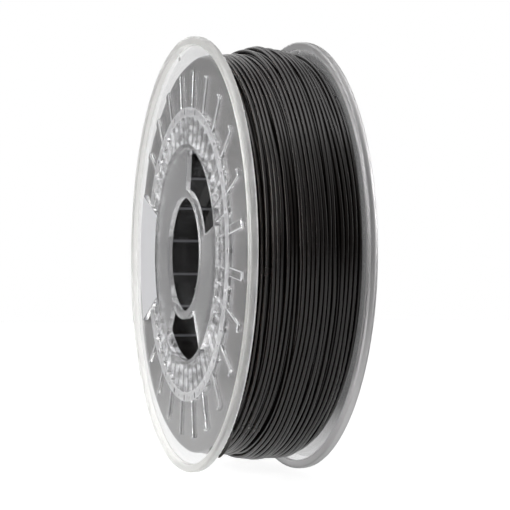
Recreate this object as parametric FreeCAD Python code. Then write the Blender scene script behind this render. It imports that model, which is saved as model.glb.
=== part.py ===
"""Filament spool: two identical clear flanges, a clear drum between them, and a wound strand.

The spool's axis is +Y and +Z is up. The origin is the middle of the spool on that axis.
All lengths are in millimetres and all angles in degrees. An angle about the axis is
measured from +X towards +Z. The labelled flange faces -Y, and the other one is the same
moulding turned half a turn about Z.
"""
import FreeCAD
import Part

import math
import os

# ---- overall size -------------------------------------------------------------------
flange_radius = 100.0
spool_width = 55.5
bore_radius = 26.5

# ---- flange -------------------------------------------------------------------------
rim_thickness = 3.65            # from the rim's outer plane to the face that holds the pack
rim_wall = 3.6                  # across the rim, from its outside to its inner wall
rim_outer_round = 0.9           # rounding on the rim's two outer corners
rim_inner_round = 0.5
plate_thickness = 1.2
hub_face_depth = 0.4            # how far the hub's face lies below the rim's outer plane
hub_ring_radius = 49.3          # inside of the ring wall round the hub's web
hub_ring_wall = 1.7
hub_ring_depth = 4.6            # from the rim's outer plane to the wall's inner end
web_thickness = 2.1
bore_ring_wall = 3.4            # flat ring round the bore
bore_ring_rise = 0.2            # how far that ring stands above the web
drum_ring_inside = 1.5          # raised ring over the drum's wall: how far it reaches inside
drum_ring_outside = 0.9         # the wall, and outside it
drum_ring_rise = 1.55
root_overlap = 0.4              # how far ribs and latches run into what they stand on

# windows through the web, as (first angle, last angle)
window_angles = [(13.0, 81.0), (233.0, 301.0)]
window_corner_round = 0.8

# straight ribs between the drum ring and the rim
rib_count = 24
rib_first_angle = 7.5
rib_width = 4.0
rib_height = 1.25
rib_rim_gap = 11.9              # from a rib's end to the rim's inner wall
rib_edge_round = 0.6

# fine ribs between the hub's ring wall and the drum ring
fine_rib_count = 48
fine_rib_width = 0.9
fine_rib_height = 1.5

# raised pad that carries the label
pad_angle = 180.0
pad_half_width_angle = 23.4
pad_rim_gap = 16.4              # from the pad's outer edge to the rim's inner wall
pad_face_depth = 0.35           # below the rim's outer plane

# latch slots in the drum ring, and the small vents between them at the ribs' roots
latch_count = 24
latch_slot_width = 2.3
latch_radial_fit = 0.3          # from the slot's inner wall to the drum's inside
latch_slot_lip = 0.3            # ring left outside a slot
vent_width = 1.2
vent_length = 1.4               # along the radius, centred on the drum's wall

# holes that hold the free end of the strand, as angles, and their place and size
strand_hole_angles = [-65.5, 99.0]
strand_hole_clearance = 0.625   # round the strand
strand_hole_rim_gap = 0.3       # from a hole's edge to the rim's inner wall

# notch in the hub's ring wall, and the two notches in the edge of the bore
wall_notch_angle = 161.5
wall_notch_width = 6.6
wall_notch_depth = 2.3
wall_notch_start = 0.7          # below the rim's outer plane
bore_notch_angles = [155.0, 228.0]
bore_notch_width = 1.6
bore_notch_reach = 1.3

# collar on the inner face that plugs into the drum
collar_wall = 1.9
collar_height = 3.0
collar_fit = 0.2                # radial clearance in the drum

# ---- drum ---------------------------------------------------------------------------
drum_wall = 1.8
drum_outer_radius = 66.9
latch_side_fit = 0.2            # between a latch and each side of its slot
latch_thickness = 1.1
latch_end_gap = 1.5             # from a latch's end to the drum ring's face
drum_rib_count = 24
drum_rib_first_angle = 7.5
drum_rib_width = 1.2
drum_rib_height = 1.0
drum_rib_end_gap = 0.3          # from a rib's end to the flange's collar

# ---- strand -------------------------------------------------------------------------
strand_diameter = 1.75
pack_clearance = 0.3            # strand to flange, strand to inner layers, pack to drum
pack_depth_near = 9.0           # from the rims' outside to the pack at the labelled flange
pack_steps = [(14.0, 7.5), (29.0, 4.0), (43.0, 5.1)]    # (from that flange's face, depth)
pack_depth_far = 7.0            # to the pack at the other flange
core_profile_steps = 18         # straight lines across the inner layers' outside
ridge_depth = 0.7               # of the grooves between turns on the pack's ends and inside
ridge_flat = 0.7                # flat along the top of each turn there
turn_gap = 0.45                 # between neighbouring turns of the outer layer
arcs_per_turn = 2               # biarcs, each two arcs, on the winding
strand_sides = 8                # flats round the modelled strand
end_bend_radius = 2.0           # where the strand turns into the flange's hole
dive_bend_radius = 2.2          # where the strand comes up from the layers below
pocket_side_fit = 0.35
gap_sample_step = 0.5           # along the strand, where its gap to itself is measured
gap_skip = 5.0                  # stretch of strand that counts as its own neighbour
tangent_step = 1e-5             # share of the winding over which its direction is taken

# ---- label --------------------------------------------------------------------------
label_thickness = 0.15
label_margin = 0.5              # bare edge of the pad round the label

# ---- worked out ---------------------------------------------------------------------
half_width = spool_width / 2
inner_face = half_width - rim_thickness
plate_top = plate_thickness - rim_thickness         # in the flange's own z, 0 at the rim
root_height = plate_top - plate_thickness / 2       # raised features start in the plate
rim_inner_radius = flange_radius - rim_wall
bore_ring_radius = bore_radius + bore_ring_wall
hub_ring_outer_radius = hub_ring_radius + hub_ring_wall
drum_inner_radius = drum_outer_radius - drum_wall
drum_ring_inner_radius = drum_inner_radius - drum_ring_inside
drum_ring_outer_radius = drum_outer_radius + drum_ring_outside
rib_end_radius = rim_inner_radius - rib_rim_gap
pad_outer_radius = rim_inner_radius - pad_rim_gap
strand_radius = strand_diameter / 2
strand_hole_radius = strand_radius + strand_hole_clearance
strand_hole_centre_radius = rim_inner_radius - strand_hole_rim_gap - strand_hole_radius
cut_overrun = 1.0                                   # how far cutting tools run past faces

Vector = FreeCAD.Vector
Z_AXIS = Vector(0, 0, 1)


def polar(radius, angle, height=0.0):
    """Point at a radius and an angle in a flange's own frame, axis along z."""
    turn = math.radians(angle)
    return Vector(radius * math.cos(turn), radius * math.sin(turn), height)


def tube(inner, outer, low, high):
    """Straight ring about z between two heights."""
    body = Part.makeCylinder(outer, high - low, Vector(0, 0, low))
    return body.cut(Part.makeCylinder(inner, high - low, Vector(0, 0, low)))


def radial_bar(inner, outer, width, low, high, angle):
    """Block that runs out from the axis at an angle, centred on that angle."""
    bar = Part.makeBox(outer - inner, width, high - low, Vector(inner, -width / 2, low))
    bar.rotate(Vector(0, 0, 0), Z_AXIS, angle)
    return bar


def sector(inner, outer, first, last, low, high):
    """Ring sector about z between two angles and two heights."""
    middle = (first + last) / 2
    edges = [
        Part.Arc(polar(outer, first), polar(outer, middle), polar(outer, last)).toShape(),
        Part.LineSegment(polar(outer, last), polar(inner, last)).toShape(),
        Part.Arc(polar(inner, last), polar(inner, middle), polar(inner, first)).toShape(),
        Part.LineSegment(polar(inner, first), polar(outer, first)).toShape(),
    ]
    face = Part.Face(Part.Wire(edges))
    face.translate(Vector(0, 0, low))
    return face.extrude(Vector(0, 0, high - low))


def flange_disc():
    """Plate and rim as one revolved profile, with the rim's edges rounded."""
    outer, inner, low = flange_radius, rim_inner_radius, -rim_thickness
    big, small = rim_outer_round, rim_inner_round
    tuck = 1 - math.sqrt(0.5)

    def at(radius, height):
        return Vector(radius, 0, height)

    def line(start, end):
        return Part.LineSegment(at(*start), at(*end)).toShape()

    def corner(start, middle, end):
        return Part.Arc(at(*start), at(*middle), at(*end)).toShape()

    edges = [
        line((hub_ring_radius, low), (outer - big, low)),
        corner((outer - big, low), (outer - big * tuck, low + big * tuck),
               (outer, low + big)),
        line((outer, low + big), (outer, -big)),
        corner((outer, -big), (outer - big * tuck, -big * tuck), (outer - big, 0)),
        line((outer - big, 0), (inner + small, 0)),
        corner((inner + small, 0), (inner + small * tuck, -small * tuck), (inner, -small)),
        line((inner, -small), (inner, plate_top)),
        line((inner, plate_top), (hub_ring_radius, plate_top)),
        line((hub_ring_radius, plate_top), (hub_ring_radius, low)),
    ]
    return Part.Face(Part.Wire(edges)).revolve(Vector(0, 0, 0), Z_AXIS, 360)


def under_pad(angle):
    """True where the label's pad takes a straight rib's place."""
    offset = (angle - pad_angle + 180) % 360 - 180
    return abs(offset) <= pad_half_width_angle


def straight_ribs():
    """Bars from the drum ring outwards, their top edges rounded."""
    ribs = []
    start = drum_ring_outer_radius - root_overlap
    for index in range(rib_count):
        angle = rib_first_angle + index * 360 / rib_count
        if under_pad(angle):
            continue
        rib = radial_bar(start, rib_end_radius, rib_width, root_height,
                         plate_top + rib_height, 0)
        tops = [edge for edge in rib.Edges if edge.BoundBox.ZMin > plate_top
                and edge.BoundBox.XMax > start + root_overlap]
        rib = rib.makeFillet(rib_edge_round, tops)
        rib.rotate(Vector(0, 0, 0), Z_AXIS, angle)
        ribs.append(rib)
    return ribs


def fine_ribs():
    """Thin bars that bridge the hub's ring wall and the drum ring."""
    ribs = []
    for index in range(fine_rib_count):
        angle = index * 360 / fine_rib_count
        ribs.append(radial_bar(hub_ring_outer_radius - root_overlap,
                               drum_ring_inner_radius + root_overlap, fine_rib_width,
                               root_height, plate_top + fine_rib_height, angle))
    return ribs


def hub_web():
    """Flat web with its windows, and the ring round the bore."""
    top = -hub_face_depth
    web = tube(bore_radius, hub_ring_radius + root_overlap, top - web_thickness, top)
    boss = tube(bore_radius, bore_ring_radius, top - web_thickness, top + bore_ring_rise)
    windows = []
    for first, last in window_angles:
        window = sector(bore_ring_radius, hub_ring_radius, first, last,
                        top - web_thickness - cut_overrun, top + cut_overrun)
        upright = [edge for edge in window.Edges if edge.BoundBox.ZLength > web_thickness]
        windows.append(window.makeFillet(window_corner_round, upright))
    return web.cut(windows), boss


def ring_cuts():
    """Latch slots, vents, strand holes and notches, as tools to cut with."""
    low, high = -rim_thickness - cut_overrun, cut_overrun
    slot_inner = drum_inner_radius - latch_radial_fit
    slot_outer = drum_ring_outer_radius - latch_slot_lip
    vent_middle = drum_outer_radius - drum_wall / 2
    cuts = []
    for index in range(latch_count):
        angle = index * 360 / latch_count
        cuts.append(radial_bar(slot_inner, slot_outer, latch_slot_width, low, high, angle))
    for index in range(rib_count):
        angle = rib_first_angle + index * 360 / rib_count
        if not under_pad(angle):
            cuts.append(radial_bar(vent_middle - vent_length / 2,
                                   vent_middle + vent_length / 2, vent_width, low, high,
                                   angle))
    for angle in strand_hole_angles:
        cuts.append(Part.makeCylinder(strand_hole_radius, high - low,
                                      polar(strand_hole_centre_radius, angle, low)))
    cuts.append(radial_bar(hub_ring_radius - cut_overrun, hub_ring_outer_radius,
                           wall_notch_width, -wall_notch_start - wall_notch_depth,
                           -wall_notch_start, wall_notch_angle))
    for angle in bore_notch_angles:
        cuts.append(radial_bar(bore_radius - cut_overrun, bore_radius + bore_notch_reach,
                               bore_notch_width, low, high, angle))
    return cuts


def flange():
    """One clear flange in its own frame: axis z, the rim's outer plane at z = 0."""
    web, boss = hub_web()
    hub_wall = tube(hub_ring_radius, hub_ring_outer_radius, -hub_ring_depth,
                    -hub_face_depth)
    drum_ring = tube(drum_ring_inner_radius, drum_ring_outer_radius, root_height,
                     plate_top + drum_ring_rise)
    collar_radius = drum_inner_radius - collar_fit
    collar = tube(collar_radius - collar_wall, collar_radius,
                  -rim_thickness - collar_height, root_height)
    pad = sector(hub_ring_outer_radius - root_overlap, pad_outer_radius,
                 pad_angle - pad_half_width_angle, pad_angle + pad_half_width_angle,
                 root_height, -pad_face_depth)
    body = flange_disc().fuse([hub_wall, web, boss, drum_ring, collar, pad]
                              + straight_ribs() + fine_ribs())
    return body.cut(ring_cuts()).removeSplitter()


def to_row(shape, far_side=False):
    """Stand a flange-frame shape up at its end of the spool."""
    placed = shape.copy()
    placed.rotate(Vector(0, 0, 0), Vector(1, 0, 0), 90)
    placed.translate(Vector(0, -half_width, 0))
    if far_side:
        placed.rotate(Vector(0, 0, 0), Z_AXIS, 180)
    return placed


def core_drum():
    """Drum between the flanges, with latches at both ends and ribs inside."""
    body = tube(drum_inner_radius, drum_outer_radius, -inner_face, inner_face)
    extras = []
    reach = plate_thickness + drum_ring_rise - latch_end_gap
    width = latch_slot_width - 2 * latch_side_fit
    for index in range(latch_count):
        angle = index * 360 / latch_count
        extras.append(radial_bar(drum_inner_radius, drum_inner_radius + latch_thickness,
                                 width, inner_face - root_overlap, inner_face + reach,
                                 angle))
        extras.append(radial_bar(drum_inner_radius, drum_inner_radius + latch_thickness,
                                 width, -inner_face - reach, root_overlap - inner_face,
                                 angle))
    rib_half_length = inner_face - collar_height - drum_rib_end_gap
    for index in range(drum_rib_count):
        angle = drum_rib_first_angle + index * 360 / drum_rib_count
        extras.append(radial_bar(drum_inner_radius - drum_rib_height,
                                 drum_inner_radius + drum_wall / 2, drum_rib_width,
                                 -rib_half_length, rib_half_length, angle))
    body = body.fuse(extras).removeSplitter()
    body.rotate(Vector(0, 0, 0), Vector(1, 0, 0), 90)
    return body


def pack_radius(y, offset):
    """Radius of the pack's outside, moved out by an offset, eased between its depths."""
    knots = [(0.0, pack_depth_near)] + pack_steps + [(2 * inner_face, pack_depth_far)]
    place = y + inner_face
    for (low, start), (high, end) in zip(knots, knots[1:]):
        if place <= high:
            break
    share = (place - low) / (high - low)
    ease = share * share * (3 - 2 * share)
    return flange_radius + offset - start - (end - start) * ease


def row_point(radius, angle, y):
    """Point in the row's frame at a radius, an angle and a place along the axis."""
    turn = math.radians(angle)
    return Vector(radius * math.cos(turn), y, radius * math.sin(turn))


# The outer layer: its centre line runs from the far flange to the labelled one.
centre_offset = -strand_radius
core_offset = -strand_diameter - pack_clearance
first_y = inner_face - pack_clearance - strand_radius
last_y = -first_y
outer_turns = math.floor((first_y - last_y) / (strand_diameter + turn_gap)
                         * arcs_per_turn) / arcs_per_turn
leave_radius = pack_radius(last_y, centre_offset)
leave_length = math.sqrt(strand_hole_centre_radius ** 2 - leave_radius ** 2)
leave_angle = strand_hole_angles[0] + math.degrees(math.atan2(leave_length, leave_radius))
start_angle = leave_angle + 360 * outer_turns


def winding_point(share):
    """Centre line of the outer layer at a share of its length, 0 to 1."""
    y = first_y + (last_y - first_y) * share
    angle = start_angle - 360 * outer_turns * share
    return row_point(pack_radius(y, centre_offset), angle, y)


def winding_direction(share):
    """Unit tangent of the outer layer; square to the axis at both of its ends."""
    angle = math.radians(start_angle - 360 * outer_turns * share)
    along = Vector(math.sin(angle), 0, -math.cos(angle))
    if share <= 0 or share >= 1:
        return along
    ahead, behind = winding_point(share + tangent_step), winding_point(share - tangent_step)
    return (ahead - behind).normalize()


def arc_middle(start, corner, end):
    """Middle of the arc that leaves start towards corner and reaches end from it."""
    weight = (end - start).Length / (2 * (corner - start).Length)
    return (start + end + corner * (2 * weight)) * (1 / (2 + 2 * weight))


def biarc(start, leaving, end, arriving):
    """Two tangent arcs between two points with given directions, as point triples."""
    chord = end - start
    both = leaving + arriving
    a = 2 * (1 - leaving.dot(arriving))
    b = 2 * chord.dot(both)
    c = -chord.dot(chord)
    reach = (-b + math.sqrt(b * b - 4 * a * c)) / (2 * a)
    corner_1 = start + leaving * reach
    corner_2 = end - arriving * reach
    joint = (corner_1 + corner_2) * 0.5
    return [(start, arc_middle(start, corner_1, joint), joint),
            (joint, arc_middle(joint, corner_2, end), end)]


def strand_path():
    """Pieces of the outer layer's centre line, from the dive to the flange's hole."""
    pieces = []
    along = winding_direction(0)
    start = winding_point(0)
    inward = Vector(-start.x, 0, -start.z).normalize()
    bend = dive_bend_radius
    foot = start - along * bend + inward * bend
    centre = start + inward * bend
    middle = centre - (along + inward) * (bend * math.sqrt(0.5))
    pieces.append(("line", foot + inward * strand_diameter, foot))
    pieces.append(("arc", foot, middle, start))
    steps = round(outer_turns * arcs_per_turn)
    for index in range(steps):
        low, high = index / steps, (index + 1) / steps
        for arc in biarc(winding_point(low), winding_direction(low),
                         winding_point(high), winding_direction(high)):
            pieces.append(("arc",) + arc)
    away = winding_direction(1)
    leave = winding_point(1)
    towards = Vector(0, -1, 0)
    bend = end_bend_radius
    turn_in = leave + away * (leave_length - bend)
    turned = leave + away * leave_length + towards * bend
    centre = turn_in + towards * bend
    middle = centre + (away - towards) * (bend * math.sqrt(0.5))
    pieces.append(("line", leave, turn_in))
    pieces.append(("arc", turn_in, middle, turned))
    pieces.append(("line", turned, turned + towards * strand_diameter))
    return pieces


def piece_edge(piece):
    """Edge for one piece of the strand's path."""
    if piece[0] == "line":
        return Part.LineSegment(piece[1], piece[2]).toShape()
    return Part.Arc(piece[1], piece[2], piece[3]).toShape()


def least_gap(points):
    """Least distance between stretches of the strand that aren't neighbours."""
    cell = 2 * strand_diameter
    skip = round(gap_skip / gap_sample_step)
    boxes = {}
    for index, point in enumerate(points):
        key = (int(point.x // cell), int(point.y // cell), int(point.z // cell))
        boxes.setdefault(key, []).append(index)
    least = cell
    around = [(i, j, k) for i in (-1, 0, 1) for j in (-1, 0, 1) for k in (-1, 0, 1)]
    for key, here in boxes.items():
        for i, j, k in around:
            there = boxes.get((key[0] + i, key[1] + j, key[2] + k), [])
            for first in here:
                for second in there:
                    if second > first + skip:
                        least = min(least, points[first].distanceToPoint(points[second]))
    return least - strand_diameter


def filament_outer_turns():
    """The outer layer as one unbroken faceted tube; its gap to itself is printed."""
    pieces = strand_path()
    edges = [piece_edge(piece) for piece in pieces]
    path = Part.Wire(edges)
    first = pieces[0]
    circle = Part.Circle(first[1], first[2] - first[1], strand_radius).toShape()
    section = Part.makePolygon(circle.discretize(Number=strand_sides + 1))
    shell = Part.BRepOffsetAPI.MakePipeShell(path)
    shell.add(section)
    shell.build()
    shell.makeSolid()
    solid = Part.Solid(shell.shape())
    points = []
    for edge in edges:
        count = max(2, math.ceil(edge.Length / gap_sample_step) + 1)
        points.extend(edge.discretize(Number=count)[:-1])
    expected = Part.Face(section).Area * path.Length
    print("strand length %.1f mm, volume over section times length %.5f"
          % (path.Length, solid.Volume / expected))
    print("least gap of the strand to itself %.3f mm" % least_gap(points))
    return solid


def ridges(start, end, outwards):
    """Points of a zigzag from start to end that stands out once for each turn, flat-topped."""
    count = round((end - start).Length / strand_diameter)
    step = (end - start) * (1 / count)
    half_flat = (end - start).normalize() * (ridge_flat / 2)
    points = []
    for index in range(count):
        top = start + step * (index + 0.5) + outwards * ridge_depth
        points += [start + step * index, top - half_flat, top + half_flat]
    return points


def filament_core():
    """The layers below the outer one: a ring ridged by its turns, a pocket for the dive."""
    end = inner_face - pack_clearance
    inner = drum_outer_radius + pack_clearance
    groove = end - ridge_depth
    low, high = (Vector(inner + ridge_depth, y, 0) for y in (-groove, groove))
    outside = [Vector(pack_radius(y, core_offset), y, 0)
               for y in (groove * (2 * index / core_profile_steps - 1)
                         for index in range(core_profile_steps + 1))]
    outline = ridges(low, outside[0], Vector(0, -1, 0)) + outside[:-1]
    outline += ridges(outside[-1], high, Vector(0, 1, 0))
    outline += ridges(high, low, Vector(-1, 0, 0)) + [low]
    ring = Part.Face(Part.makePolygon(outline)).revolve(Vector(0, 0, 0), Vector(0, 1, 0),
                                                        360)
    # the pocket's floor meets the strand's end square
    start = winding_point(0)
    radius = pack_radius(first_y, centre_offset)
    floor = radius - dive_bend_radius - strand_diameter
    half = strand_radius + pocket_side_fit
    length = dive_bend_radius + 2 * half
    pocket = Part.makeBox(radius - floor, 2 * half, length, Vector(floor, -half, -half))
    pocket.rotate(Vector(0, 0, 0), Vector(0, 1, 0), -start_angle)
    along = winding_direction(0)
    pocket.translate(Vector(0, start.y, 0) - along * dive_bend_radius)
    return ring.cut(pocket)


def label():
    """Label on the near flange's pad, as a thin sector."""
    inset = math.degrees(label_margin / pad_outer_radius)
    sheet = sector(hub_ring_outer_radius + label_margin, pad_outer_radius - label_margin,
                   pad_angle - pad_half_width_angle + inset,
                   pad_angle + pad_half_width_angle - inset,
                   -pad_face_depth, -pad_face_depth + label_thickness)
    return to_row(sheet)


def main():
    """Build every node and write its STEP file."""
    os.makedirs("parts", exist_ok=True)
    one_flange = flange()
    nodes = {
        "near_flange": to_row(one_flange),
        "far_flange": to_row(one_flange, far_side=True),
        "core_drum": core_drum(),
        "filament_core": filament_core(),
        "filament_outer_turns": filament_outer_turns(),
        "label": label(),
    }
    for name, shape in nodes.items():
        solids = shape.Solids
        print("%-22s solids %d valid %s volume %.0f" % (name, len(solids), shape.isValid(),
                                                        shape.Volume))
        shape.exportStep(os.path.join("parts", name + ".step"))


main()
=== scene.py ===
"""Looks of the filament spool: clear flanges and drum, the wound strand and the label.

The spool's axis is +Y, +Z is up and the origin is its middle. Lengths on the spool are in
millimetres and are scaled by MM on their way into a mesh or a shader. The camera and the
lamps are placed in metres. An angle about the axis is measured from +X towards +Z, in
degrees where it is named and in radians in arrays.
"""
import math

import bpy
import numpy as np
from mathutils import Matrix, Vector


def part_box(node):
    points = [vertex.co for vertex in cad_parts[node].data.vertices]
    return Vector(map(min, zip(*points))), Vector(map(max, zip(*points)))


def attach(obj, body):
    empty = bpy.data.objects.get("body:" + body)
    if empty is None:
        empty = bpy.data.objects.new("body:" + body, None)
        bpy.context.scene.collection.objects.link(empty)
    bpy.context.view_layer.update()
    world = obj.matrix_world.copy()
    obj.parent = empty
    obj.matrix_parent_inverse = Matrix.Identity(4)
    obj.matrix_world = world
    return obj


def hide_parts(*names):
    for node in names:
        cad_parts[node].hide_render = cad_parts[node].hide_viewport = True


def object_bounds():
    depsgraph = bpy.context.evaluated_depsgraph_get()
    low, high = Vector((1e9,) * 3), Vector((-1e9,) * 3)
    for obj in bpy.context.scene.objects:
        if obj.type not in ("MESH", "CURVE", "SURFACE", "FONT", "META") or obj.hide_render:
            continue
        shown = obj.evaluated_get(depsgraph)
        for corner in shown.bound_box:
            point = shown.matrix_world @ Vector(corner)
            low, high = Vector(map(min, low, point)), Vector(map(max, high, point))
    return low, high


MM = 0.001
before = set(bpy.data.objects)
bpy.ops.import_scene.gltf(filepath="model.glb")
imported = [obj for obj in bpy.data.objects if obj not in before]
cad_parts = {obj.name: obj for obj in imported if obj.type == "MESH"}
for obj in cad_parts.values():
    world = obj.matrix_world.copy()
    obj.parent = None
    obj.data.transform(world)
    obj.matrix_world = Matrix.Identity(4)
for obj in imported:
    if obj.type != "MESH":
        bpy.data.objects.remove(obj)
cad_low, cad_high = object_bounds()

# ---- sizes of the spool that the strand follows --------------------------------------
GAP = 0.3                       # between the pack and what holds it
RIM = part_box("near_flange")[1].x / MM               # radius of a rim
FACE_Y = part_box("filament_core")[1].y / MM + GAP    # inner face of a flange
DRUM_OUTSIDE = 66.9             # radius

# ---- the strand and how it is wound --------------------------------------------------
STRAND = 1.75                   # diameter
SIDES = 10                      # points round the strand
BINS = 240                      # points on one turn
FIRST_Y = FACE_Y - GAP - STRAND / 2                 # furthest centre line, at either flange
LAYER_TURNS = (22.0, 22.0, 21.25)                   # turns of the third, second and top layer
MIDDLE_LAYER = 1                # the only one laid from the near flange to the far one
LAYERS_DEPTH = 3.15             # from the top layer's centre line to the third's
SPACING = 1.77                  # least distance between neighbouring turns of a layer
WANDERS = ((0.45, 0.08), (0.75, 0.45))              # spread, and smoothing in turns
CALM_LENGTH = 3.0               # beside a flange, over which the wander fades to nothing
GROOVE_PULL = 0.5               # sideways pull into the grooves of the layer below
GROOVE_SPACING = 2.2
GROOVE_REACH = 1.3              # how far off a turn below still pulls
FAR_OFF = 1e3                   # stands for a turn that isn't in the layer below
TURNS_BELOW = 46                # earlier turns that one turn can rest on
SETTLE_REACH, SETTLE_SIGMA = 9, 3.0                 # smoothing of the laid path, in points

# ---- the pack's outside --------------------------------------------------------------
# depth below the rims, by distance from the labelled flange's inner face, then what is
# added and taken away: size, angle in degrees or place, and extent
PACK_DEPTHS = ((0.0, 9.0), (14.0, 7.5), (29.0, 4.0), (43.0, 5.1), (2 * FACE_Y, 7.0))
BULGE, BULGE_ANGLE, BULGE_Y, BULGE_WIDTH = 0.6, 81, 6, 6
SAG, SAG_ANGLE, SAG_SPAN, SAG_LENGTH = 4.8, 108, 26, 12
DROP, DROP_START, DROP_LENGTH = 1.6, 19.5, 4.5      # by the far flange
DIPS, DIPS_SMOOTHING = 0.8, 0.04                    # spread, and smoothing in turns
SWELLS, SWELLS_SMOOTHING = 0.3, 0.06
SWELLS_FADE = 1.3               # radians, at a flange, of the cosine that lessens them

# ---- the strand's free end -----------------------------------------------------------
HOLE_ANGLE = -65.5              # hole in the near flange that holds it
HOLE_RADIUS = 94.6
HOLE_DEPTH = 0.6                # into the flange's wall, where the bend ends
BEND_ANGLE = -66.0              # where the free end bends back to that hole
BEND_RADIUS = 97.3
BEND_INSET = 2.2                # from the flange's inner face to the bend
LEAN = 0.6                      # of the free stretch towards the flange, at the bend
LEAVE_ARM, ARRIVE_ARM = 0.4, 0.3                    # control arms, as shares of the stretch
BEND_ARM, HOLE_ARM = 1.6, 1.8
TAIL = 1.5                      # straight stretch inside the hole
STRETCH_POINTS, BEND_POINTS, TAIL_POINTS = 30, 16, 4

# ---- the ring of inner layers --------------------------------------------------------
RING_STEPS = 288                # points round the axis
RIDGE_STEPS = 5                 # points across one turn's ridge
TOP_STEPS = 23                  # points across the ring's outside
RING_CLEARANCE = 0.25           # below the third layer

# ---- finishes ------------------------------------------------------------------------
PLATE_TINT = (0.98, 0.98, 0.985)
# the far rim's tint is darker than the near rim's, a painted shade on the same plastic
NEAR_RIM_TINT, FAR_RIM_SHADED_TINT = (0.97, 0.965, 0.94), (0.72, 0.71, 0.715)
# the drum is tinted darker than the flanges, painted shade on its inside; the latches' tips
# are painted near-black as shade
DRUM_SHADED_TINT, LATCH_PAINTED_SHADE = (0.60, 0.60, 0.605), (0.01, 0.01, 0.01)
DARK = (0, 0, 0)
# emission colours of painted highlights: a glow on the flanges' edges and on the drum's rib
# crests
PAINTED_EDGE_GLOW, PAINTED_CREST_GLOW = (0.17, 0.17, 0.175), (0.055, 0.055, 0.06)
RIB_PAINTED_GLOW, RING_PAINTED_GLOW = 1.1, 1.3  # against the rounded edges' glow
HAZE = 0.05                     # share of a flange's plastic that scatters as matt
THROUGH = 0.7                   # share of light that clear plastic lets pass in shadows
POLISH_ROUGHNESS = (0.01, 0.07)
WEB_ROUGHNESS, NEAR_RIM_ROUGHNESS, FAR_RIM_ROUGHNESS, LATCH_ROUGHNESS = 0.16, 0.40, 0.28, 0.5
STRAND_ROUGHNESS, LABEL_ROUGHNESS = (0.18, 0.28), (0.38, 0.52)
STRAND_COLOURS = ((0.0090, 0.0055, 0.0040), (0.0070, 0.0047, 0.0037))
LABEL_COLOURS = ((0.72, 0.72, 0.74), (0.78, 0.78, 0.80))

# scale and detail of the mottling, or its scale alone, and the share where it sets in
POLISH_CLOUDS, RIB_CLOUDS, ROOM_CLOUDS = (60.0, 5.0), (260.0, 2.0), (2.6, 2.0)
STRAND_CLOUDS, LABEL_CLOUDS = 45.0, 35.0
RIB_PATCHES, STRAND_BANDS, LABEL_BANDS = (0.45, 0.65), (0.3, 0.7), (0.2, 0.8)

# slopes, from 0 on a wall along the axis to 1 on a face across it, that a finish changes
# between: walls end, rounded edges start, and rounded edges end
WALLS_END, ROUNDED_START, ROUNDED_END = (0.05, 0.15), (0.10, 0.30), (0.90, 0.985)
# where a finish begins or ends, as the two radii that it changes between
WEB_END = (45.0, 46.5)
FINE_RIBS_START, FINE_RIBS_END = (45.5, 46.5), (64.0, 64.5)
RAISED_RING_START, RAISED_RING_END = (63.0, 63.3), (68.2, 68.5)
CREST_END = (64.2, 64.4)
EDGES_END, RIM_START = (95.5, 95.8), (95.8, 96.6)
# the same for heights above the spool's middle plane
NEAR_TO_FAR = (-1.0, 1.0)
# LATCH_TIPS gives the heights where the latches' tips turn to painted shade
LATCH_TIPS, RAISED_FACE = (24.12, 24.2), (26.55, 26.65)

# ---- camera, in metres, and directions in the room -----------------------------------
CAMERA = Vector((0.66529, -0.21533, -0.01639))
CAMERA_TURN = math.radians(71.4676)
CAMERA_TILT = math.radians(91.335)
FOCAL_LENGTH, SENSOR_WIDTH = 105.45, 36.0           # millimetres in the camera
AWAY = (-math.sin(CAMERA_TURN), math.cos(CAMERA_TURN), 0.0)
ACROSS = (math.cos(CAMERA_TURN), math.sin(CAMERA_TURN), 0.0)
UP = (0.0, 0.0, 1.0)
CAMERA_SIDE = (0.93, -0.20, -0.30)
PLATES_MIRROR = (-0.948, -0.318, 0.0)               # what the flat plates reflect

# ---- brightness of the room, where 1 is white ----------------------------------------
MATT_LEVEL = 0.45               # of the room for rays from matt surfaces
CAMERA_SIDE_LEVEL = 0.10
MIRRORED_LEVEL = 0.28           # of the zone that the flat plates mirror
SCREEN_LOSS = 0.86              # what the dark screen takes away
PATCHES = (-0.75, 1.1)          # what dark and bright patches add, as a share
FLOOR_HALF = 3000.0             # half of the floor's side
FLOOR_SEEN = 0.88
FLOOR_NEAR, FLOOR_FAR = 0.6, 0.2                    # in mirrors
FLOOR_FADE = (150.0, 900.0)     # distances from the spool between which it fades there


# ---- meshes from arrays --------------------------------------------------------------
def mesh_piece(name, points, faces, smooth=True):
    """Object with its mesh at the origin, from points in millimetres and lists of corners."""
    mesh = bpy.data.meshes.new(name)
    mesh.from_pydata((np.asarray(points) * MM).tolist(), [],
                     [tuple(face) for face in faces])
    mesh.validate()
    if smooth:
        mesh.shade_smooth()
    piece = bpy.data.objects.new(name, mesh)
    bpy.context.scene.collection.objects.link(piece)
    return piece


def grid_quads(rows, columns, close_rows=False, close_columns=False):
    """Quads over a grid of points numbered row by row, closed where asked."""
    row = np.arange(rows if close_rows else rows - 1)
    column = np.arange(columns if close_columns else columns - 1)
    row, column = (grid.ravel() for grid in np.meshgrid(row, column, indexing="ij"))
    next_row, next_column = (row + 1) % rows, (column + 1) % columns
    return np.stack([row * columns + column, row * columns + next_column,
                     next_row * columns + next_column, next_row * columns + column], axis=1)


def bell_curve(reach, sigma):
    """exp(-x^2 / (2 sigma^2)) at whole numbers from -reach to reach."""
    return np.exp(-0.5 * (np.arange(-reach, reach + 1) / sigma) ** 2)


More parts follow.
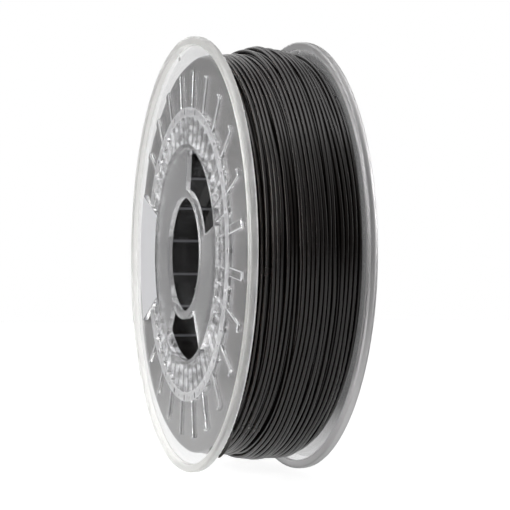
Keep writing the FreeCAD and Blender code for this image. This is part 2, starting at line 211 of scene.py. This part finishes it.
def smooth_noise(rng, count, spread, sigma, closed=False):
    """White noise smoothed by a bell curve of the given sigma, scaled to the given spread."""
    values = rng.standard_normal(count)
    reach = int(4 * sigma)
    if closed:
        values = np.concatenate([values[-reach:], values, values[:reach]])
    values = np.convolve(values, bell_curve(reach, sigma), "valid" if closed else "same")
    return values * spread / values.std()


def ease(share):
    """0 up to share 0, 1 from share 1 on, and 3 s^2 - 2 s^3 between."""
    share = np.clip(share, 0, 1)
    return share * share * (3 - 2 * share)


def on_circle(radius, angle, y):
    """Points at a radius and an angle in radians about the axis, stacked on the last axis."""
    return np.stack([radius * np.cos(angle), y, radius * np.sin(angle)], axis=-1)


# ---- the winding ---------------------------------------------------------------------
rng = np.random.default_rng(7)
far_dips = smooth_noise(rng, BINS, DIPS, BINS * DIPS_SMOOTHING, closed=True)
swells = smooth_noise(rng, BINS, SWELLS, BINS * SWELLS_SMOOTHING, closed=True)


def pack_radius(y, angle):
    """Radius of the pack's outside at a place along the axis and an angle in radians.

    Eased steps between the depths, plus four things: a bulge that leans towards the top,
    a sag by the near flange at the upper left, a ragged drop by the far flange, and swells.
    """
    place = np.clip(y + FACE_Y, 0, 2 * FACE_Y)
    radius = RIM - PACK_DEPTHS[0][1] + np.zeros(np.broadcast(y, angle).shape)
    for (low, start), (high, end) in zip(PACK_DEPTHS, PACK_DEPTHS[1:]):
        radius = radius - (end - start) * ease((place - low) / (high - low))
    bulge = BULGE * np.cos(angle - math.radians(BULGE_ANGLE))
    bulge = bulge * np.exp(-((y - BULGE_Y) / BULGE_WIDTH) ** 2)
    off_sag = (np.degrees(angle) - SAG_ANGLE + 180) % 360 - 180
    sag = SAG * np.exp(-(off_sag / SAG_SPAN) ** 4) * (1 - ease(place / SAG_LENGTH))
    bin_of = np.mod(angle / (2 * math.pi) * BINS, BINS).astype(int)
    drop = (DROP + far_dips[bin_of]) * ease((y - DROP_START) / DROP_LENGTH)
    return radius + bulge - sag - drop + swells[bin_of] * np.cos(y / FACE_Y * SWELLS_FADE)


def pull_to_grooves(y, below):
    """Move a turn by a sin(2 pi g / s) where g, its distance from the nearest turn below,
    is within the grooves' reach.
    """
    distance = y - below
    nearest = np.take_along_axis(distance, np.abs(distance).argmin(0)[None], 0)[0]
    pull = GROOVE_PULL * np.sin(2 * math.pi * nearest / GROOVE_SPACING)
    return y + np.where(np.abs(nearest) < GROOVE_REACH, pull, 0)


def rest_on(y, ys, radii):
    """Greatest r_k + sqrt(d^2 - (y - y_k)^2) over the earlier turns k that a turn touches."""
    distance = np.abs(y - ys)
    rise = np.sqrt(np.clip(STRAND ** 2 - distance ** 2, 0, None))
    return np.where(distance < STRAND, radii + rise, 0).max(0)


def lay_strand():
    """Lay the strand's top layers turn by turn, as it comes to rest on what lies below.

    At each angle a turn sits at y = traverse + wander, pulled towards the grooves of the
    layer below and kept its spacing from the turn before it. It rests on the bed or on
    earlier turns, whichever is higher. Returns the turns counted off at each point, the
    points, and the counts at which the layers begin and end.
    """
    total = sum(LAYER_TURNS)
    leave_radius = RIM - PACK_DEPTHS[0][1] - STRAND / 2
    leave = math.radians(BEND_ANGLE) + math.acos(leave_radius / BEND_RADIUS)
    turns = math.ceil(total)
    counted = np.arange(turns * BINS + 1) / BINS + (total - turns)
    ends = np.cumsum((0,) + LAYER_TURNS)
    traverse = np.interp(counted, ends, [FIRST_Y, -FIRST_Y, FIRST_Y, -FIRST_Y])
    wander = sum(smooth_noise(rng, counted.size, spread, BINS * sigma)
                 for spread, sigma in WANDERS)
    calm = np.clip((FIRST_Y - np.abs(traverse)) / CALM_LENGTH, 0, 1)
    aim = np.clip(traverse + wander * calm, -FIRST_Y, FIRST_Y)
    angle = leave + 2 * math.pi * (total - counted)
    bed = pack_radius(aim, angle) - STRAND / 2 - LAYERS_DEPTH
    spans = [slice(n * BINS, (n + 1) * BINS + 1) for n in range(turns)]
    layers = np.searchsorted(ends[1:-1], counted, side="right")
    layers = np.stack([layers[span] for span in spans])
    ys, radii = np.empty((turns, BINS + 1)), np.empty((turns, BINS + 1))
    for n, span in enumerate(spans):
        y, radius = aim[span], bed[span]
        if n:
            earlier, layer = slice(max(0, n - TURNS_BELOW), n), layers[n]
            below = np.where(layers[earlier] == layer - 1, ys[earlier], FAR_OFF)
            y = pull_to_grooves(y, below)
            beside = np.where(layer == MIDDLE_LAYER, np.maximum(y, ys[n - 1] + SPACING),
                              np.minimum(y, ys[n - 1] - SPACING))
            y = np.clip(np.where(layers[n - 1] == layer, beside, y), -FIRST_Y, FIRST_Y)
            radius = np.maximum(radius, rest_on(y, ys[earlier], radii[earlier]))
        ys[n], radii[n] = y, radius
    bell = bell_curve(SETTLE_REACH, SETTLE_SIGMA)
    bell /= bell.sum()
    settled = []
    for values in (radii, ys):
        line = np.append(values[:, :-1].ravel(), values[-1, -1])
        line[SETTLE_REACH:-SETTLE_REACH] = np.convolve(line, bell, "valid")
        settled.append(line)
    return counted, on_circle(settled[0], angle, settled[1]), ends


def unit(vectors):
    """Vectors along the last axis, scaled to length 1."""
    return vectors / np.linalg.norm(vectors, axis=-1, keepdims=True)


def strand_tube(name, path):
    """Round tube along a path of points: p + d/2 (cos f n + sin f b), capped at both ends."""
    along = unit(np.gradient(path, axis=0))
    out = unit(path * [1, 0, 1])
    out = unit(out - along * (out * along).sum(1)[:, None])
    side = np.cross(along, out)
    turn = np.arange(SIDES) / SIDES * 2 * math.pi
    ring = (np.cos(turn)[None, :, None] * out[:, None]
            + np.sin(turn)[None, :, None] * side[:, None])
    points = (path[:, None] + ring * STRAND / 2).reshape(-1, 3)
    faces = grid_quads(len(path), SIDES, close_columns=True).tolist()
    faces.append(list(range(SIDES)))
    faces.append(list(range(len(points) - 1, len(points) - 1 - SIDES, -1)))
    return mesh_piece(name, points, faces)


def free_end(path):
    """The strand's last stretch: straight off the pack, then a tight bend into the hole.

    Cubic arcs, (1-s)^3 p0 + 3 s (1-s)^2 p1 + 3 s^2 (1-s) p2 + s^3 p3, follow each other:
    one to the bend, one round it to the hole, and a straight one inside the hole.
    """
    start = path[-1]
    along = unit(path[-1] - path[-2])
    bend = on_circle(BEND_RADIUS, math.radians(BEND_ANGLE), -FACE_Y + BEND_INSET)
    hole = on_circle(HOLE_RADIUS, math.radians(HOLE_ANGLE), -FACE_Y - HOLE_DEPTH)
    reach = np.linalg.norm(bend - start)
    arrive = unit(along + [0, -LEAN, 0])
    tail = np.array([0, TAIL, 0])
    arcs = ((start, start + along * reach * LEAVE_ARM, bend - arrive * reach * ARRIVE_ARM,
             bend, STRETCH_POINTS),
            (bend, bend + arrive * BEND_ARM, hole + [0, HOLE_ARM, 0], hole, BEND_POINTS),
            (hole, hole - tail / 3, hole - tail * 2 / 3, hole - tail, TAIL_POINTS))
    stretches = []
    for p0, p1, p2, p3, count in arcs:
        s = np.linspace(0, 1, count + 1)[1:, None]
        stretches.append((1 - s) ** 3 * p0 + 3 * s * (1 - s) ** 2 * p1
                         + 3 * s ** 2 * (1 - s) * p2 + s ** 3 * p3)
    return np.concatenate(stretches)


def inner_windings():
    """Ring of the layers below, with its turns as half-round ridges on three of its sides.

    A ridge rises by d/2 sqrt(1 - (2u - 1)^2) for u from 0 to 1 across it. The profile runs
    up the near end, across the top, down the far end and back along the drum, and is
    carried round the axis below the pack's own outside.
    """
    low, end = DRUM_OUTSIDE + GAP, FACE_Y - GAP
    across_ridge = np.linspace(0, 1, RIDGE_STEPS + 1)[:-1]
    around = (np.arange(RING_STEPS) / RING_STEPS * 2 * math.pi)[:, None]
    under = STRAND + LAYERS_DEPTH + RING_CLEARANCE

    def ridges(length):
        count = round(length / STRAND)
        share = (np.arange(count)[:, None] + across_ridge).ravel() / count
        rise = np.sqrt(np.clip(1 - (2 * np.tile(across_ridge, count) - 1) ** 2, 0, 1))
        return share, rise * STRAND / 2

    top_near, top_far = (pack_radius(side * end, around) - under for side in (-1, 1))
    up, ridge = ridges(RIM - PACK_DEPTHS[0][1] - under - low)
    back, drum_ridge = ridges(2 * end)
    across = -end + 2 * end * np.linspace(0, 1, TOP_STEPS + 1)[:-1]
    sides = ((low + up * (top_near - low), -(end - STRAND / 2) - ridge),
             (pack_radius(across, around) - under, across),
             (top_far - up * (top_far - low), end - STRAND / 2 + ridge),
             (low + STRAND / 2 - drum_ridge, end - 2 * end * back))
    radius, y = (np.concatenate([np.broadcast_to(side[k], (RING_STEPS, side[1].size))
                                 for side in sides], axis=1) for k in (0, 1))
    faces = grid_quads(*radius.shape, close_rows=True, close_columns=True)
    return mesh_piece("filament_inner_layers", on_circle(radius, around, y).reshape(-1, 3),
                      faces[:, ::-1].tolist())


counted, centre_line, ends = lay_strand()
first, second = np.searchsorted(counted, ends[1]), np.searchsorted(counted, ends[2])
third_layer = strand_tube("filament_third_layer", centre_line[:first + 1])
second_layer = strand_tube("filament_second_layer", centre_line[first:second + 1])
top_layer = strand_tube("filament_top_layer",
                        np.concatenate([centre_line[second:], free_end(centre_line)]))
inner_layers = inner_windings()


# ---- building shaders ----------------------------------------------------------------
MIX_SHARE, MIX_FIRST, MIX_SECOND, MIX_RESULT = 0, 6, 7, 2   # a Mix node's colour sockets


def add_node(tree, kind, **values):
    """Node of a kind; words that name its sockets set them, the rest set properties."""
    made = tree.nodes.new(kind)
    for key, value in values.items():
        socket = key.replace("_", " ")
        if socket in made.inputs:
            made.inputs[socket].default_value = value
        else:
            setattr(made, key, value)
    return made


def feed(tree, value, socket):
    """Link a socket's value, or write a number or a colour, into a socket."""
    if isinstance(value, bpy.types.NodeSocket):
        tree.links.new(value, socket)
    else:
        socket.default_value = (*value, 1) if isinstance(value, tuple) else value


def ramp(tree, source, span, start=0.0, end=1.0, kind="LINEAR"):
    """Map Range from a span (low, high) to start..end; returns its output socket."""
    made = add_node(tree, "ShaderNodeMapRange", interpolation_type=kind)
    tree.links.new(source, made.inputs["Value"])
    for key, value in (("From Min", span[0]), ("From Max", span[1]), ("To Min", start),
                       ("To Max", end)):
        made.inputs[key].default_value = value
    return made.outputs["Result"]


def length_ramp(tree, source, span, start=0.0, end=1.0, kind="LINEAR"):
    """The same for a length in metres and a span in millimetres."""
    return ramp(tree, source, (span[0] * MM, span[1] * MM), start, end, kind)


def math_node(tree, operation, *values):
    """Math node on sockets and numbers; returns its output socket."""
    made = add_node(tree, "ShaderNodeMath", operation=operation)
    for socket, value in zip(made.inputs, values):
        feed(tree, value, socket)
    return made.outputs[0]


def product(tree, *values):
    """Product of two or more sockets; returns the last output socket."""
    result = values[0]
    for value in values[1:]:
        result = math_node(tree, "MULTIPLY", result, value)
    return result


def greatest(tree, *values):
    """Greatest of two or more sockets; returns the last output socket."""
    result = values[0]
    for value in values[1:]:
        result = math_node(tree, "MAXIMUM", result, value)
    return result


def blend_colours(tree, share, first_colour, second_colour):
    """Mix of two colours or sockets by a socket, which may pass 1; returns the colour."""
    made = add_node(tree, "ShaderNodeMix", data_type="RGBA", clamp_factor=False)
    feed(tree, share, made.inputs[MIX_SHARE])
    feed(tree, first_colour, made.inputs[MIX_FIRST])
    feed(tree, second_colour, made.inputs[MIX_SECOND])
    return made.outputs[MIX_RESULT]


def mottling_group():
    """Node group of clouded noise over a place, with a scale and a detail of its own."""
    group = bpy.data.node_groups.new("mottling", "ShaderNodeTree")
    for socket, kind in (("Place", "NodeSocketVector"), ("Scale", "NodeSocketFloat"),
                         ("Detail", "NodeSocketFloat")):
        group.interface.new_socket(socket, in_out="INPUT", socket_type=kind)
    group.interface.new_socket("Cloud", in_out="OUTPUT", socket_type="NodeSocketFloat")
    given, put_out = add_node(group, "NodeGroupInput"), add_node(group, "NodeGroupOutput")
    texture = add_node(group, "ShaderNodeTexNoise")
    for socket, into in (("Place", "Vector"), ("Scale", "Scale"), ("Detail", "Detail")):
        group.links.new(given.outputs[socket], texture.inputs[into])
    group.links.new(texture.outputs["Fac"], put_out.inputs["Cloud"])
    return group


mottling = mottling_group()


def cloud(tree, place, scale, detail=4.0):
    """Mottling over places in metres or over directions; returns its output socket."""
    made = add_node(tree, "ShaderNodeGroup", node_tree=mottling, Scale=scale, Detail=detail)
    tree.links.new(place, made.inputs["Place"])
    return made.outputs["Cloud"]


def object_place(tree):
    """Place on the piece, in metres from the spool's middle."""
    return add_node(tree, "ShaderNodeTexCoord").outputs["Object"]


def along_axis(tree, vector):
    """Sockets for a vector's y, which is its share along the spool's axis, and for |y|."""
    split = add_node(tree, "ShaderNodeSeparateXYZ")
    tree.links.new(vector, split.inputs[0])
    return split.outputs["Y"], math_node(tree, "ABSOLUTE", split.outputs["Y"])


# ---- materials -----------------------------------------------------------------------
def material(name, base, roughness, **values):
    """Principled material; returns it with its node tree and shader."""
    made = bpy.data.materials.new(name)
    made.use_nodes = True
    shader = made.node_tree.nodes["Principled BSDF"]
    shader.inputs["Base Color"].default_value = (*base, 1)
    shader.inputs["Roughness"].default_value = roughness
    for key, value in values.items():
        shader.inputs[key.replace("_", " ")].default_value = value
    return made, made.node_tree, shader


def clear_plastic_base(name, haze_share):
    """Clear plastic that lets most light through in shadows.

    Returns the material, its tree and shader, and sockets for the place on the piece, the
    distance from the axis and the slope (1 on faces across the axis, 0 on walls along it).
    """
    made, tree, shader = material(name, (0.9, 0.9, 0.9), 0.03, IOR=1.49,
                                  Transmission_Weight=1.0 - haze_share,
                                  Emission_Strength=1.0)
    place = object_place(tree)
    flat = add_node(tree, "ShaderNodeVectorMath", operation="MULTIPLY")
    flat.inputs[1].default_value = (1, 0, 1)
    tree.links.new(place, flat.inputs[0])
    radius = add_node(tree, "ShaderNodeVectorMath", operation="LENGTH")
    tree.links.new(flat.outputs[0], radius.inputs[0])
    normal = add_node(tree, "ShaderNodeNewGeometry").outputs["Normal"]
    _, slope = along_axis(tree, normal)
    shadow = add_node(tree, "ShaderNodeLightPath").outputs["Is Shadow Ray"]
    tree.links.new(math_node(tree, "MULTIPLY_ADD", shadow, -THROUGH, 1.0),
                   shader.inputs["Alpha"])
    return made, tree, shader, place, radius.outputs["Value"], slope


def polish(tree, place):
    """Roughness of polished plastic, a little uneven."""
    return ramp(tree, cloud(tree, place, *POLISH_CLOUDS), (0.0, 1.0), *POLISH_ROUGHNESS)


def clear_moulding():
    """A flange's plastic: polished plate, softer web, hazy rim, and edges with a painted
    glow.

    Rounded edges, the walls of the fine ribs in uneven patches and the raised ring's face
    give off a painted glow, emission that stands for highlights. The far rim is tinted darker
    than the near one, a painted shade.
    """
    made, tree, shader, place, radius, slope = clear_plastic_base("clear_plastic", HAZE)
    y, height = along_axis(tree, place)
    rim = length_ramp(tree, radius, RIM_START)
    far_side = length_ramp(tree, y, NEAR_TO_FAR)
    # the far rim's darker tint is painted shade
    rim_tint_and_far_shade = blend_colours(tree, far_side, NEAR_RIM_TINT, FAR_RIM_SHADED_TINT)
    tree.links.new(blend_colours(tree, rim, PLATE_TINT, rim_tint_and_far_shade),
                   shader.inputs["Base Color"])
    web = length_ramp(tree, radius, WEB_END, WEB_ROUGHNESS, 0.0)
    scuffed = ramp(tree, far_side, (0.0, 1.0), NEAR_RIM_ROUGHNESS, FAR_RIM_ROUGHNESS)
    haze = math_node(tree, "ADD", product(tree, rim, scuffed), web)
    tree.links.new(math_node(tree, "ADD", polish(tree, place), haze),
                   shader.inputs["Roughness"])
    # painted highlight: rounded edges, the fine ribs' walls in uneven patches and the raised
    # ring's face glow as emission
    rounded = product(tree, ramp(tree, slope, ROUNDED_START),
                      ramp(tree, slope, ROUNDED_END, 1.0, 0.0),
                      length_ramp(tree, radius, EDGES_END, 1.0, 0.0))
    uneven = ramp(tree, cloud(tree, place, *RIB_CLOUDS), RIB_PATCHES, 0.0, RIB_PAINTED_GLOW)
    rib_walls = product(tree, ramp(tree, slope, WALLS_END, 1.0, 0.0),
                        length_ramp(tree, radius, FINE_RIBS_START),
                        length_ramp(tree, radius, FINE_RIBS_END, 1.0, 0.0), uneven)
    raised_ring = product(tree, length_ramp(tree, radius, RAISED_RING_START),
                          length_ramp(tree, radius, RAISED_RING_END, 1.0, 0.0),
                          length_ramp(tree, height, RAISED_FACE, 0.0, RING_PAINTED_GLOW))
    painted_glow = greatest(tree, math_node(tree, "ADD", rounded, rib_walls), raised_ring)
    tree.links.new(blend_colours(tree, painted_glow, DARK, PAINTED_EDGE_GLOW),
                   shader.inputs["Emission Color"])
    return made


def clear_tube():
    """The drum's plastic, tinted dark as painted shade; painted glow on crests, painted shade
    on latch tips.
    """
    made, tree, shader, place, radius, _ = clear_plastic_base("clear_drum", 0.0)
    _, height = along_axis(tree, place)
    # painted shade: the darker drum tint, and near-black latch tips, which are also rougher
    shaded_latch_tips = length_ramp(tree, height, LATCH_TIPS)
    tree.links.new(blend_colours(tree, shaded_latch_tips, DRUM_SHADED_TINT, LATCH_PAINTED_SHADE),
                   shader.inputs["Base Color"])
    tree.links.new(math_node(tree, "MULTIPLY_ADD", shaded_latch_tips, LATCH_ROUGHNESS,
                             polish(tree, place)), shader.inputs["Roughness"])
    # painted highlight: the drum's rib crests glow as emission
    crest_painted_glow = length_ramp(tree, radius, CREST_END, 1.0, 0.0)
    tree.links.new(blend_colours(tree, crest_painted_glow, DARK, PAINTED_CREST_GLOW),
                   shader.inputs["Emission Color"])
    return made


def mottled(name, base, roughness, scale, colours, span, roughness_range):
    """Opaque material whose colour and roughness follow one mottling."""
    made, tree, shader = material(name, base, roughness)
    clouds = cloud(tree, object_place(tree), scale)
    tree.links.new(blend_colours(tree, clouds, *colours), shader.inputs["Base Color"])
    tree.links.new(ramp(tree, clouds, span, *roughness_range), shader.inputs["Roughness"])
    return made


clear_plastic, clear_drum = clear_moulding(), clear_tube()
# satin black plastic with faint bands of gloss, and matt white film
black_filament = mottled("black_filament", (0.004, 0.004, 0.004), 0.28, STRAND_CLOUDS,
                         STRAND_COLOURS, STRAND_BANDS, STRAND_ROUGHNESS)
label_film = mottled("label_film", (0.75, 0.75, 0.77), 0.45, LABEL_CLOUDS,
                     LABEL_COLOURS, LABEL_BANDS, LABEL_ROUGHNESS)


def finish_piece(piece, made, slot, *stands_for):
    """Give a piece its material, ride it on the spool, stand it in for CAD nodes."""
    piece.data.materials.clear()
    piece.data.materials.append(made)
    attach(piece, "root")
    if stands_for:
        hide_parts(*stands_for)


finish_piece(top_layer, black_filament, "black_filament", "filament_outer_turns")
finish_piece(second_layer, black_filament, "black_filament")
finish_piece(third_layer, black_filament, "black_filament")
finish_piece(inner_layers, black_filament, "black_filament", "filament_core")
for node, made in (("near_flange", clear_plastic), ("far_flange", clear_plastic),
                   ("core_drum", clear_drum), ("label", label_film)):
    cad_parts[node].data.materials.clear()
    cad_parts[node].data.materials.append(made)


# ---- floor, light and camera ---------------------------------------------------------
def surroundings():
    """White room, darker behind the camera; what shows through clear plastic has an edge.

    The camera itself sees plain white. Only other rays meet the darker parts: a screen that
    stands beyond the spool to the right of the backdrop and above the horizon, a zone that
    the flat plates mirror, and bright and dark patches elsewhere for small clear ribs.
    """
    world = bpy.data.worlds.new("studio")
    bpy.context.scene.world = world
    world.use_nodes = True
    tree = world.node_tree
    background = tree.nodes["Background"]
    background.inputs["Color"].default_value = (1, 1, 1, 1)
    path = add_node(tree, "ShaderNodeLightPath").outputs
    way = add_node(tree, "ShaderNodeTexCoord").outputs["Generated"]

    def towards(direction):
        dot = add_node(tree, "ShaderNodeVectorMath", operation="DOT_PRODUCT")
        tree.links.new(way, dot.inputs[0])
        dot.inputs[1].default_value = direction
        return dot.outputs["Value"]

    away, mirrored_way = towards(AWAY), towards(PLATES_MIRROR)
    camera_side = towards(CAMERA_SIDE)
    seen = greatest(tree, path["Is Glossy Ray"], path["Is Transmission Ray"],
                    path["Is Camera Ray"])
    level = ramp(tree, seen, (0.0, 1.0), MATT_LEVEL, 1.0)
    room = ramp(tree, camera_side, (0.0, 0.75), 1.0, CAMERA_SIDE_LEVEL, "SMOOTHSTEP")
    dark_screen = product(tree, ramp(tree, away, (0.0, 0.3), 0.0, 1.0, "SMOOTHSTEP"),
                          ramp(tree, towards(ACROSS), (-0.045, 0.015), 0.0, 1.0,
                               "SMOOTHSTEP"),
                          ramp(tree, towards(UP), (-0.115, -0.075)))
    screen = math_node(tree, "MULTIPLY_ADD", dark_screen, -SCREEN_LOSS, 1.0)
    mirrored = ramp(tree, mirrored_way, (0.85, 0.95), 1.0, MIRRORED_LEVEL, "SMOOTHSTEP")
    patches = ramp(tree, cloud(tree, way, *ROOM_CLOUDS), (0.44, 0.56), *PATCHES)
    calm = greatest(tree, ramp(tree, away, (0.86, 0.96)),
                    ramp(tree, mirrored_way, (0.80, 0.92)),
                    ramp(tree, camera_side, (0.1, 0.4)))
    lively = product(tree, patches, math_node(tree, "SUBTRACT", 1.0, calm))
    unseen = product(tree, room, screen, mirrored, math_node(tree, "ADD", lively, 1.0))
    plain = greatest(tree, unseen, path["Is Camera Ray"])
    tree.links.new(product(tree, level, plain), background.inputs["Strength"])


def pale_floor():
    """Wide pale floor at the spool's foot: bright in mirrors near the spool, dim far off.

    Seen through clear plastic it isn't there.
    """
    z, half = cad_low.z / MM, FLOOR_HALF
    floor = mesh_piece("floor", [(-half, -half, z), (half, -half, z), (half, half, z),
                                 (-half, half, z)], [(0, 1, 2, 3)], smooth=False)
    paper, tree, shader = material("floor_paper", (0.5, 0.5, 0.5), 0.9,
                                   Emission_Color=(1, 1, 1, 1))
    path = add_node(tree, "ShaderNodeLightPath").outputs
    distance = add_node(tree, "ShaderNodeVectorMath", operation="LENGTH")
    tree.links.new(object_place(tree), distance.inputs[0])
    near_by = length_ramp(tree, distance.outputs["Value"], FLOOR_FADE, FLOOR_NEAR,
                          FLOOR_FAR, "SMOOTHSTEP")
    mirrored = product(tree, path["Is Glossy Ray"], near_by)
    tree.links.new(math_node(tree, "MULTIPLY_ADD", path["Is Camera Ray"], FLOOR_SEEN,
                             mirrored), shader.inputs["Emission Strength"])
    mix = add_node(tree, "ShaderNodeMixShader")
    for source, socket in ((path["Is Transmission Ray"], 0), (shader.outputs[0], 1),
                           (add_node(tree, "ShaderNodeBsdfTransparent").outputs[0], 2)):
        tree.links.new(source, mix.inputs[socket])
    tree.links.new(mix.outputs[0], tree.nodes["Material Output"].inputs["Surface"])
    floor.data.materials.append(paper)


def lamp(name, place, width, height, power, only=(), on_matt=True):
    """Soft rectangular lamp that faces the spool; it may light only some pieces or gloss."""
    data = bpy.data.lights.new(name, "AREA")
    data.shape = "RECTANGLE"
    data.size, data.size_y, data.energy = width, height, power
    made = bpy.data.objects.new(name, data)
    bpy.context.scene.collection.objects.link(made)
    made.location = place
    made.rotation_euler = (-Vector(place)).to_track_quat("-Z", "Y").to_euler()
    if not on_matt:
        made.visible_diffuse = made.visible_transmission = False
    if only:
        lit = bpy.data.collections.new(name + "_receivers")
        for node in only:
            lit.objects.link(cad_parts[node])
        made.light_linking.receiver_collection = lit


def add_camera():
    """Camera at the viewing angle that shows the labelled flange and the pack."""
    data = bpy.data.cameras.new("camera")
    data.lens, data.sensor_width = FOCAL_LENGTH, SENSOR_WIDTH
    camera = bpy.data.objects.new("camera", data)
    bpy.context.scene.collection.objects.link(camera)
    camera.location = CAMERA
    camera.rotation_euler = (CAMERA_TILT, 0, CAMERA_TURN)
    bpy.context.scene.camera = camera
    bpy.context.scene.view_settings.view_transform = "Standard"


surroundings()
pale_floor()
# place, width and height in metres, power in watts
lamp("top_softbox", (0.1, -0.1, 0.9), width=0.9, height=0.9, power=3.0)
lamp("left_softbox", (0.35, -1.0, 0.35), width=0.5, height=0.6, power=7.0,
     only=("near_flange", "far_flange", "core_drum", "label"))
lamp("edge_softbox", (0.35, -1.0, 0.0), width=0.6, height=1.4, power=75.0,
     only=("near_flange",), on_matt=False)
add_camera()
